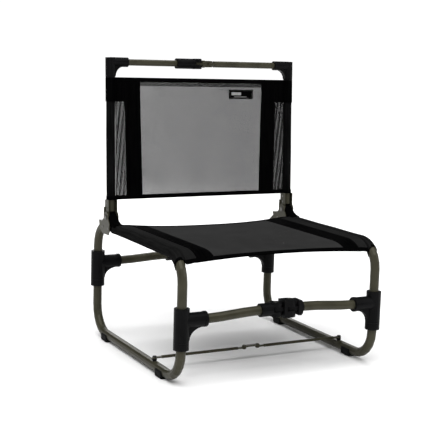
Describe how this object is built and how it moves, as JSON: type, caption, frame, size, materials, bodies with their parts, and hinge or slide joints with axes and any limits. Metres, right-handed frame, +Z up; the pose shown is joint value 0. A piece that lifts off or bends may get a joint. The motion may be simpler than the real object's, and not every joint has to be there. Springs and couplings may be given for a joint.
{
  "type": "folding field chair",
  "caption": "Low folding field chair: two bent side loops, swivelling cross bars with centre hinges, a fold-down sling back and a sling seat.",
  "frame": {"origin": "on the floor under the middle of the chair's bounding box", "axes": "+X to the chair's left as sat in (the viewer's right from the front), -Y is the front, +Z up"},
  "size_m": [0.539, 0.538, 0.7109],
  "materials": {
    "paint": "satin",
    "plastic": "matte",
    "steel": "satin",
    "rubber": "matte",
    "fabric": "woven",
    "mesh": "open mesh"
  },
  "bodies": {
    "left_side": {"left_loop": "paint", "left_bracket": "paint", "left_back_pivot": "steel", "front_left_collar": "plastic", "rear_left_collar": "plastic", "front_left_foot": "rubber", "rear_left_foot": "rubber", "left_seat_sleeve": "fabric", "left_brace_post": "plastic"},
    "left_upright": {"left_upright": "paint", "left_shoe": "paint", "left_back_sleeve": "fabric", "left_upright_collar": "plastic"},
    "seat_left": {"seat_left_panel": "mesh"},
    "back_left": {"back_left_panel": "mesh"},
    "brace_left": {"brace_left_rod": "paint"},
    "front_left_arm": {"front_left_tee": "plastic", "front_left_bar": "paint", "front_left_socket": "plastic"},
    "rear_left_arm": {"rear_left_tee": "plastic", "rear_left_bar": "paint", "rear_left_socket": "plastic"},
    "right_side": {"right_loop": "paint", "right_bracket": "paint", "right_back_pivot": "steel", "front_right_collar": "plastic", "rear_right_collar": "plastic", "front_right_foot": "rubber", "rear_right_foot": "rubber", "right_seat_sleeve": "fabric", "right_brace_post": "plastic"},
    "right_upright": {"right_upright": "paint", "right_shoe": "paint", "right_back_sleeve": "fabric", "right_upright_collar": "plastic"},
    "seat_right": {"seat_right_panel": "mesh"},
    "back_right": {"back_right_panel": "mesh"},
    "brace_right": {"brace_right_rod": "paint"},
    "front_right_arm": {"front_right_tee": "plastic", "front_right_bar": "paint", "front_right_socket": "plastic"},
    "rear_right_arm": {"rear_right_tee": "plastic", "rear_right_bar": "paint", "rear_right_socket": "plastic"},
    "front_link": {"front_hinge_link": "plastic", "front_left_pin": "steel", "front_right_pin": "steel"},
    "rear_link": {"rear_hinge_link": "plastic", "rear_left_pin": "steel", "rear_right_pin": "steel"},
    "brace_link": {"brace_link": "paint"},
    "top_left_arm": {"top_left_elbow": "plastic", "top_left_bar": "paint", "top_left_socket": "plastic"},
    "top_right_arm": {"top_right_elbow": "plastic", "top_right_bar": "paint", "top_right_plug": "paint"},
    "top_link": {"top_hinge_link": "paint"}
  },
  "joints": [
    {"name": "fold", "type": "hinge", "parent": "left_side", "child": "front_left_arm", "pos_m": [-0.252, -0.2515, 0.1518], "axis": [0, 0, 1], "range_deg": [0, 86]},
    {"name": "front_link_turn", "type": "hinge", "parent": "front_left_arm", "child": "front_link", "pos_m": [-0.018, -0.2515, 0.1588], "axis": [0, 0, 1], "range_deg": [-86, 0]},
    {"name": "front_right_turn", "type": "hinge", "parent": "front_link", "child": "front_right_arm", "pos_m": [0.018, -0.2515, 0.1588], "axis": [0, 0, 1], "range_deg": [-86, 0]},
    {"name": "right_side_turn", "type": "hinge", "parent": "front_right_arm", "child": "right_side", "pos_m": [0.252, -0.2515, 0.1518], "axis": [0, 0, 1], "range_deg": [0, 86]},
    {"name": "rear_left_turn", "type": "hinge", "parent": "left_side", "child": "rear_left_arm", "pos_m": [-0.252, 0.2515, 0.1894], "axis": [0, 0, 1], "range_deg": [-86, 0]},
    {"name": "rear_link_turn", "type": "hinge", "parent": "rear_left_arm", "child": "rear_link", "pos_m": [-0.018, 0.2515, 0.1951], "axis": [0, 0, 1], "range_deg": [0, 86]},
    {"name": "rear_right_turn", "type": "hinge", "parent": "right_side", "child": "rear_right_arm", "pos_m": [0.252, 0.2515, 0.1894], "axis": [0, 0, 1], "range_deg": [0, 86]},
    {"name": "brace_left_turn", "type": "hinge", "parent": "left_side", "child": "brace_left", "pos_m": [-0.252, -0.1135, 0.033], "axis": [0, 0, 1], "range_deg": [0, 86]},
    {"name": "brace_link_turn", "type": "hinge", "parent": "brace_left", "child": "brace_link", "pos_m": [-0.018, -0.1135, 0.033], "axis": [0, 0, 1], "range_deg": [-86, 0]},
    {"name": "brace_right_turn", "type": "hinge", "parent": "right_side", "child": "brace_right", "pos_m": [0.252, -0.1135, 0.033], "axis": [0, 0, 1], "range_deg": [-86, 0]},
    {"name": "back_fold", "type": "hinge", "parent": "left_side", "child": "left_upright", "pos_m": [-0.252, 0.1645, 0.318], "axis": [1, 0, 0], "range_deg": [0, 90]},
    {"name": "right_back_turn", "type": "hinge", "parent": "right_side", "child": "right_upright", "pos_m": [0.252, 0.1645, 0.318], "axis": [1, 0, 0], "range_deg": [0, 90]},
    {"name": "top_left_turn", "type": "hinge", "parent": "left_upright", "child": "top_left_arm", "pos_m": [-0.252, 0.18439, 0.69748], "axis": [0, 0.0523, 0.9986], "range_deg": [0, 86]},
    {"name": "top_link_turn", "type": "hinge", "parent": "top_left_arm", "child": "top_link", "pos_m": [-0.018, 0.18439, 0.69748], "axis": [0, 0.0523, 0.9986], "range_deg": [-86, 0]},
    {"name": "top_right_turn", "type": "hinge", "parent": "right_upright", "child": "top_right_arm", "pos_m": [0.252, 0.18439, 0.69748], "axis": [0, 0.0523, 0.9986], "range_deg": [-86, 0]},
    {"name": "seat_left_turn", "type": "hinge", "parent": "left_side", "child": "seat_left", "pos_m": [-0.2355, 0, 0.299], "axis": [0, -1, 0], "range_deg": [0, 86.26]},
    {"name": "seat_right_turn", "type": "hinge", "parent": "seat_left", "child": "seat_right", "pos_m": [0, 0, 0.298], "axis": [0, -1, 0], "range_deg": [-172.52, 0]},
    {"name": "back_left_turn", "type": "hinge", "parent": "left_upright", "child": "back_left", "pos_m": [-0.2379, 0.1645, 0.318], "axis": [0, 0.0523, 0.9986], "range_deg": [0, 85.74]},
    {"name": "back_right_turn", "type": "hinge", "parent": "back_left", "child": "back_right", "pos_m": [0, 0.1635, 0.31805], "axis": [0, 0.0523, 0.9986], "range_deg": [-171.48, 0]}
  ],
  "couplings": [
    {"joint": "front_link_turn", "follows": "fold", "ratio": -1},
    {"joint": "front_right_turn", "follows": "fold", "ratio": -1},
    {"joint": "right_side_turn", "follows": "fold", "ratio": 1},
    {"joint": "rear_left_turn", "follows": "fold", "ratio": -1},
    {"joint": "rear_link_turn", "follows": "fold", "ratio": 1},
    {"joint": "rear_right_turn", "follows": "fold", "ratio": 1},
    {"joint": "brace_left_turn", "follows": "fold", "ratio": 1},
    {"joint": "brace_link_turn", "follows": "fold", "ratio": -1},
    {"joint": "brace_right_turn", "follows": "fold", "ratio": -1},
    {"joint": "right_back_turn", "follows": "back_fold", "ratio": 1},
    {"joint": "top_left_turn", "follows": "fold", "ratio": 1},
    {"joint": "top_link_turn", "follows": "fold", "ratio": -1},
    {"joint": "top_right_turn", "follows": "fold", "ratio": -1},
    {"joint": "seat_left_turn", "follows": "fold", "ratio": 1.003},
    {"joint": "seat_right_turn", "follows": "fold", "ratio": -2.006},
    {"joint": "back_left_turn", "follows": "fold", "ratio": 0.997},
    {"joint": "back_right_turn", "follows": "fold", "ratio": -1.994}
  ]
}
